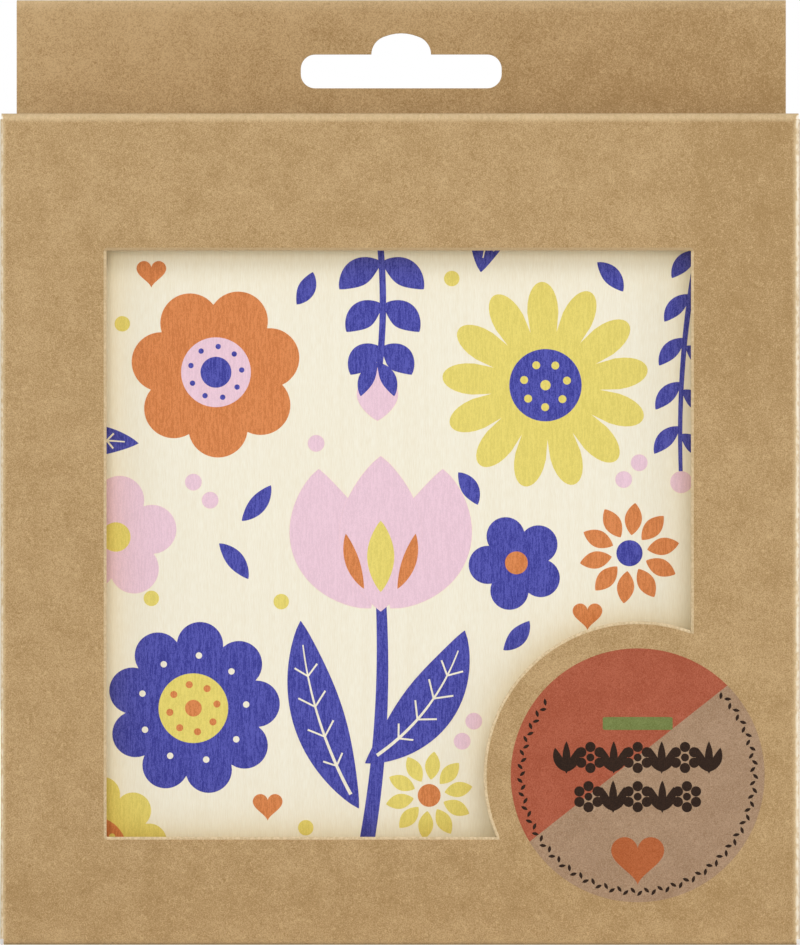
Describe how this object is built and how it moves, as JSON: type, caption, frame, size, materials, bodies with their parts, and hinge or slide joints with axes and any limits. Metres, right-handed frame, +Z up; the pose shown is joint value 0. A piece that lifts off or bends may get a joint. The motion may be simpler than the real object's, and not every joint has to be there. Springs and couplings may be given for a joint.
{
  "type": "flower press",
  "caption": "Square plywood flower press in a folded kraft window carton: wing nuts draw two plates together over cards and blotting papers.",
  "frame": {"origin": "middle of the closed carton's foot, on the surface it stands on", "axes": "+Z up, +X to the right of someone who looks at the window, -Y out of the window"},
  "size_m": [0.1234, 0.05, 0.148],
  "materials": {
    "kraft_board": "matt",
    "printed_plywood": "matt printed",
    "plywood": "sanded",
    "corrugated_card": "matt",
    "blotting_paper": "matt",
    "zinc_plated_steel": "bright zinc"
  },
  "bodies": {
    "carton": {"carton_front": "kraft_board", "carton_left_side": "kraft_board", "carton_right_side": "kraft_board", "carton_back": "kraft_board", "header_front_layer": "kraft_board", "glue_flap": "kraft_board", "bottom_outer_flap": "kraft_board", "bottom_inner_flap": "kraft_board", "bottom_dust_flap_left": "kraft_board", "bottom_dust_flap_right": "kraft_board"},
    "lid": {"lid": "kraft_board"},
    "tuck_flap": {"tuck_flap": "kraft_board"},
    "dust_flap_left": {"dust_flap_left": "kraft_board"},
    "dust_flap_right": {"dust_flap_right": "kraft_board"},
    "press_frame": {"front_plate": "printed_plywood", "carriage_bolt_1": "zinc_plated_steel", "carriage_bolt_2": "zinc_plated_steel", "carriage_bolt_3": "zinc_plated_steel", "carriage_bolt_4": "zinc_plated_steel"},
    "pressing_plate": {"rear_plate": "plywood", "washer_1": "zinc_plated_steel", "washer_2": "zinc_plated_steel", "washer_3": "zinc_plated_steel", "washer_4": "zinc_plated_steel"},
    "corrugated_card_1": {"corrugated_card_1": "corrugated_card"},
    "blotting_paper_1": {"blotting_paper_1": "blotting_paper"},
    "blotting_paper_2": {"blotting_paper_2": "blotting_paper"},
    "corrugated_card_2": {"corrugated_card_2": "corrugated_card"},
    "blotting_paper_3": {"blotting_paper_3": "blotting_paper"},
    "blotting_paper_4": {"blotting_paper_4": "blotting_paper"},
    "corrugated_card_3": {"corrugated_card_3": "corrugated_card"},
    "blotting_paper_5": {"blotting_paper_5": "blotting_paper"},
    "blotting_paper_6": {"blotting_paper_6": "blotting_paper"},
    "corrugated_card_4": {"corrugated_card_4": "corrugated_card"},
    "wing_nut_1": {"wing_nut_1": "zinc_plated_steel"},
    "wing_nut_2": {"wing_nut_2": "zinc_plated_steel"},
    "wing_nut_3": {"wing_nut_3": "zinc_plated_steel"},
    "wing_nut_4": {"wing_nut_4": "zinc_plated_steel"}
  },
  "joints": [
    {"name": "lid_fold", "type": "hinge", "parent": "carton", "child": "lid", "pos_m": [0, -0.025, 0.1275], "axis": [1, 0, 0], "range_deg": [0, 130]},
    {"name": "tuck_fold", "type": "hinge", "parent": "lid", "child": "tuck_flap", "pos_m": [0, 0.0223, 0.1275], "axis": [1, 0, 0], "range_deg": [-40, 0]},
    {"name": "dust_fold_left", "type": "hinge", "parent": "carton", "child": "dust_flap_left", "pos_m": [-0.06175, 0, 0.127], "axis": [0, -1, 0], "range_deg": [0, 79]},
    {"name": "dust_fold_right", "type": "hinge", "parent": "carton", "child": "dust_flap_right", "pos_m": [0.06175, 0, 0.127], "axis": [0, 1, 0], "range_deg": [0, 79]},
    {"name": "press_lift", "type": "slide", "parent": "carton", "child": "press_frame", "axis": [0, 0, 1], "range_m": [0, 0.0048]},
    {"name": "plate_slide", "type": "slide", "parent": "press_frame", "child": "pressing_plate", "axis": [0, 1, 0], "range_m": [0, 0.008]},
    {"name": "corrugated_card_1_slide", "type": "slide", "parent": "press_frame", "child": "corrugated_card_1", "axis": [0, 1, 0], "range_m": [0, 0.000827]},
    {"name": "blotting_paper_1_slide", "type": "slide", "parent": "press_frame", "child": "blotting_paper_1", "axis": [0, 1, 0], "range_m": [0, 0.00155]},
    {"name": "blotting_paper_2_slide", "type": "slide", "parent": "press_frame", "child": "blotting_paper_2", "axis": [0, 1, 0], "range_m": [0, 0.00228]},
    {"name": "corrugated_card_2_slide", "type": "slide", "parent": "press_frame", "child": "corrugated_card_2", "axis": [0, 1, 0], "range_m": [0, 0.00301]},
    {"name": "blotting_paper_3_slide", "type": "slide", "parent": "press_frame", "child": "blotting_paper_3", "axis": [0, 1, 0], "range_m": [0, 0.00374]},
    {"name": "blotting_paper_4_slide", "type": "slide", "parent": "press_frame", "child": "blotting_paper_4", "axis": [0, 1, 0], "range_m": [0, 0.00446]},
    {"name": "corrugated_card_3_slide", "type": "slide", "parent": "press_frame", "child": "corrugated_card_3", "axis": [0, 1, 0], "range_m": [0, 0.00519]},
    {"name": "blotting_paper_5_slide", "type": "slide", "parent": "press_frame", "child": "blotting_paper_5", "axis": [0, 1, 0], "range_m": [0, 0.00592]},
    {"name": "blotting_paper_6_slide", "type": "slide", "parent": "press_frame", "child": "blotting_paper_6", "axis": [0, 1, 0], "range_m": [0, 0.00664]},
    {"name": "corrugated_card_4_slide", "type": "slide", "parent": "press_frame", "child": "corrugated_card_4", "axis": [0, 1, 0], "range_m": [0, 0.00737]},
    {"name": "wing_nut_1_turn", "type": "hinge", "parent": "pressing_plate", "child": "wing_nut_1", "pos_m": [-0.05, 0.0028, 0.11195], "axis": [0, 1, 0], "range_deg": [0, 3600]},
    {"name": "wing_nut_2_turn", "type": "hinge", "parent": "pressing_plate", "child": "wing_nut_2", "pos_m": [0.05, 0.0028, 0.11195], "axis": [0, 1, 0], "range_deg": [0, 3600]},
    {"name": "wing_nut_3_turn", "type": "hinge", "parent": "pressing_plate", "child": "wing_nut_3", "pos_m": [0.05, 0.0028, 0.01195], "axis": [0, 1, 0], "range_deg": [0, 3600]},
    {"name": "wing_nut_4_turn", "type": "hinge", "parent": "pressing_plate", "child": "wing_nut_4", "pos_m": [-0.05, 0.0028, 0.01195], "axis": [0, 1, 0], "range_deg": [0, 3600]}
  ],
  "couplings": [
    {"joint": "tuck_fold", "follows": "lid_fold", "ratio": -0.3},
    {"joint": "dust_fold_left", "follows": "lid_fold", "ratio": 0.6},
    {"joint": "dust_fold_right", "follows": "lid_fold", "ratio": 0.6},
    {"joint": "corrugated_card_1_slide", "follows": "plate_slide", "ratio": 0.090909},
    {"joint": "blotting_paper_1_slide", "follows": "plate_slide", "ratio": 0.18182},
    {"joint": "blotting_paper_2_slide", "follows": "plate_slide", "ratio": 0.27273},
    {"joint": "corrugated_card_2_slide", "follows": "plate_slide", "ratio": 0.36364},
    {"joint": "blotting_paper_3_slide", "follows": "plate_slide", "ratio": 0.45454},
    {"joint": "blotting_paper_4_slide", "follows": "plate_slide", "ratio": 0.54546},
    {"joint": "corrugated_card_3_slide", "follows": "plate_slide", "ratio": 0.63636},
    {"joint": "blotting_paper_5_slide", "follows": "plate_slide", "ratio": 0.72727},
    {"joint": "blotting_paper_6_slide", "follows": "plate_slide", "ratio": 0.81818},
    {"joint": "corrugated_card_4_slide", "follows": "plate_slide", "ratio": 0.90909},
    {"joint": "wing_nut_1_turn", "follows": "plate_slide", "rad_per_m": 7854},
    {"joint": "wing_nut_2_turn", "follows": "plate_slide", "rad_per_m": 7854},
    {"joint": "wing_nut_3_turn", "follows": "plate_slide", "rad_per_m": 7854},
    {"joint": "wing_nut_4_turn", "follows": "plate_slide", "rad_per_m": 7854}
  ]
}
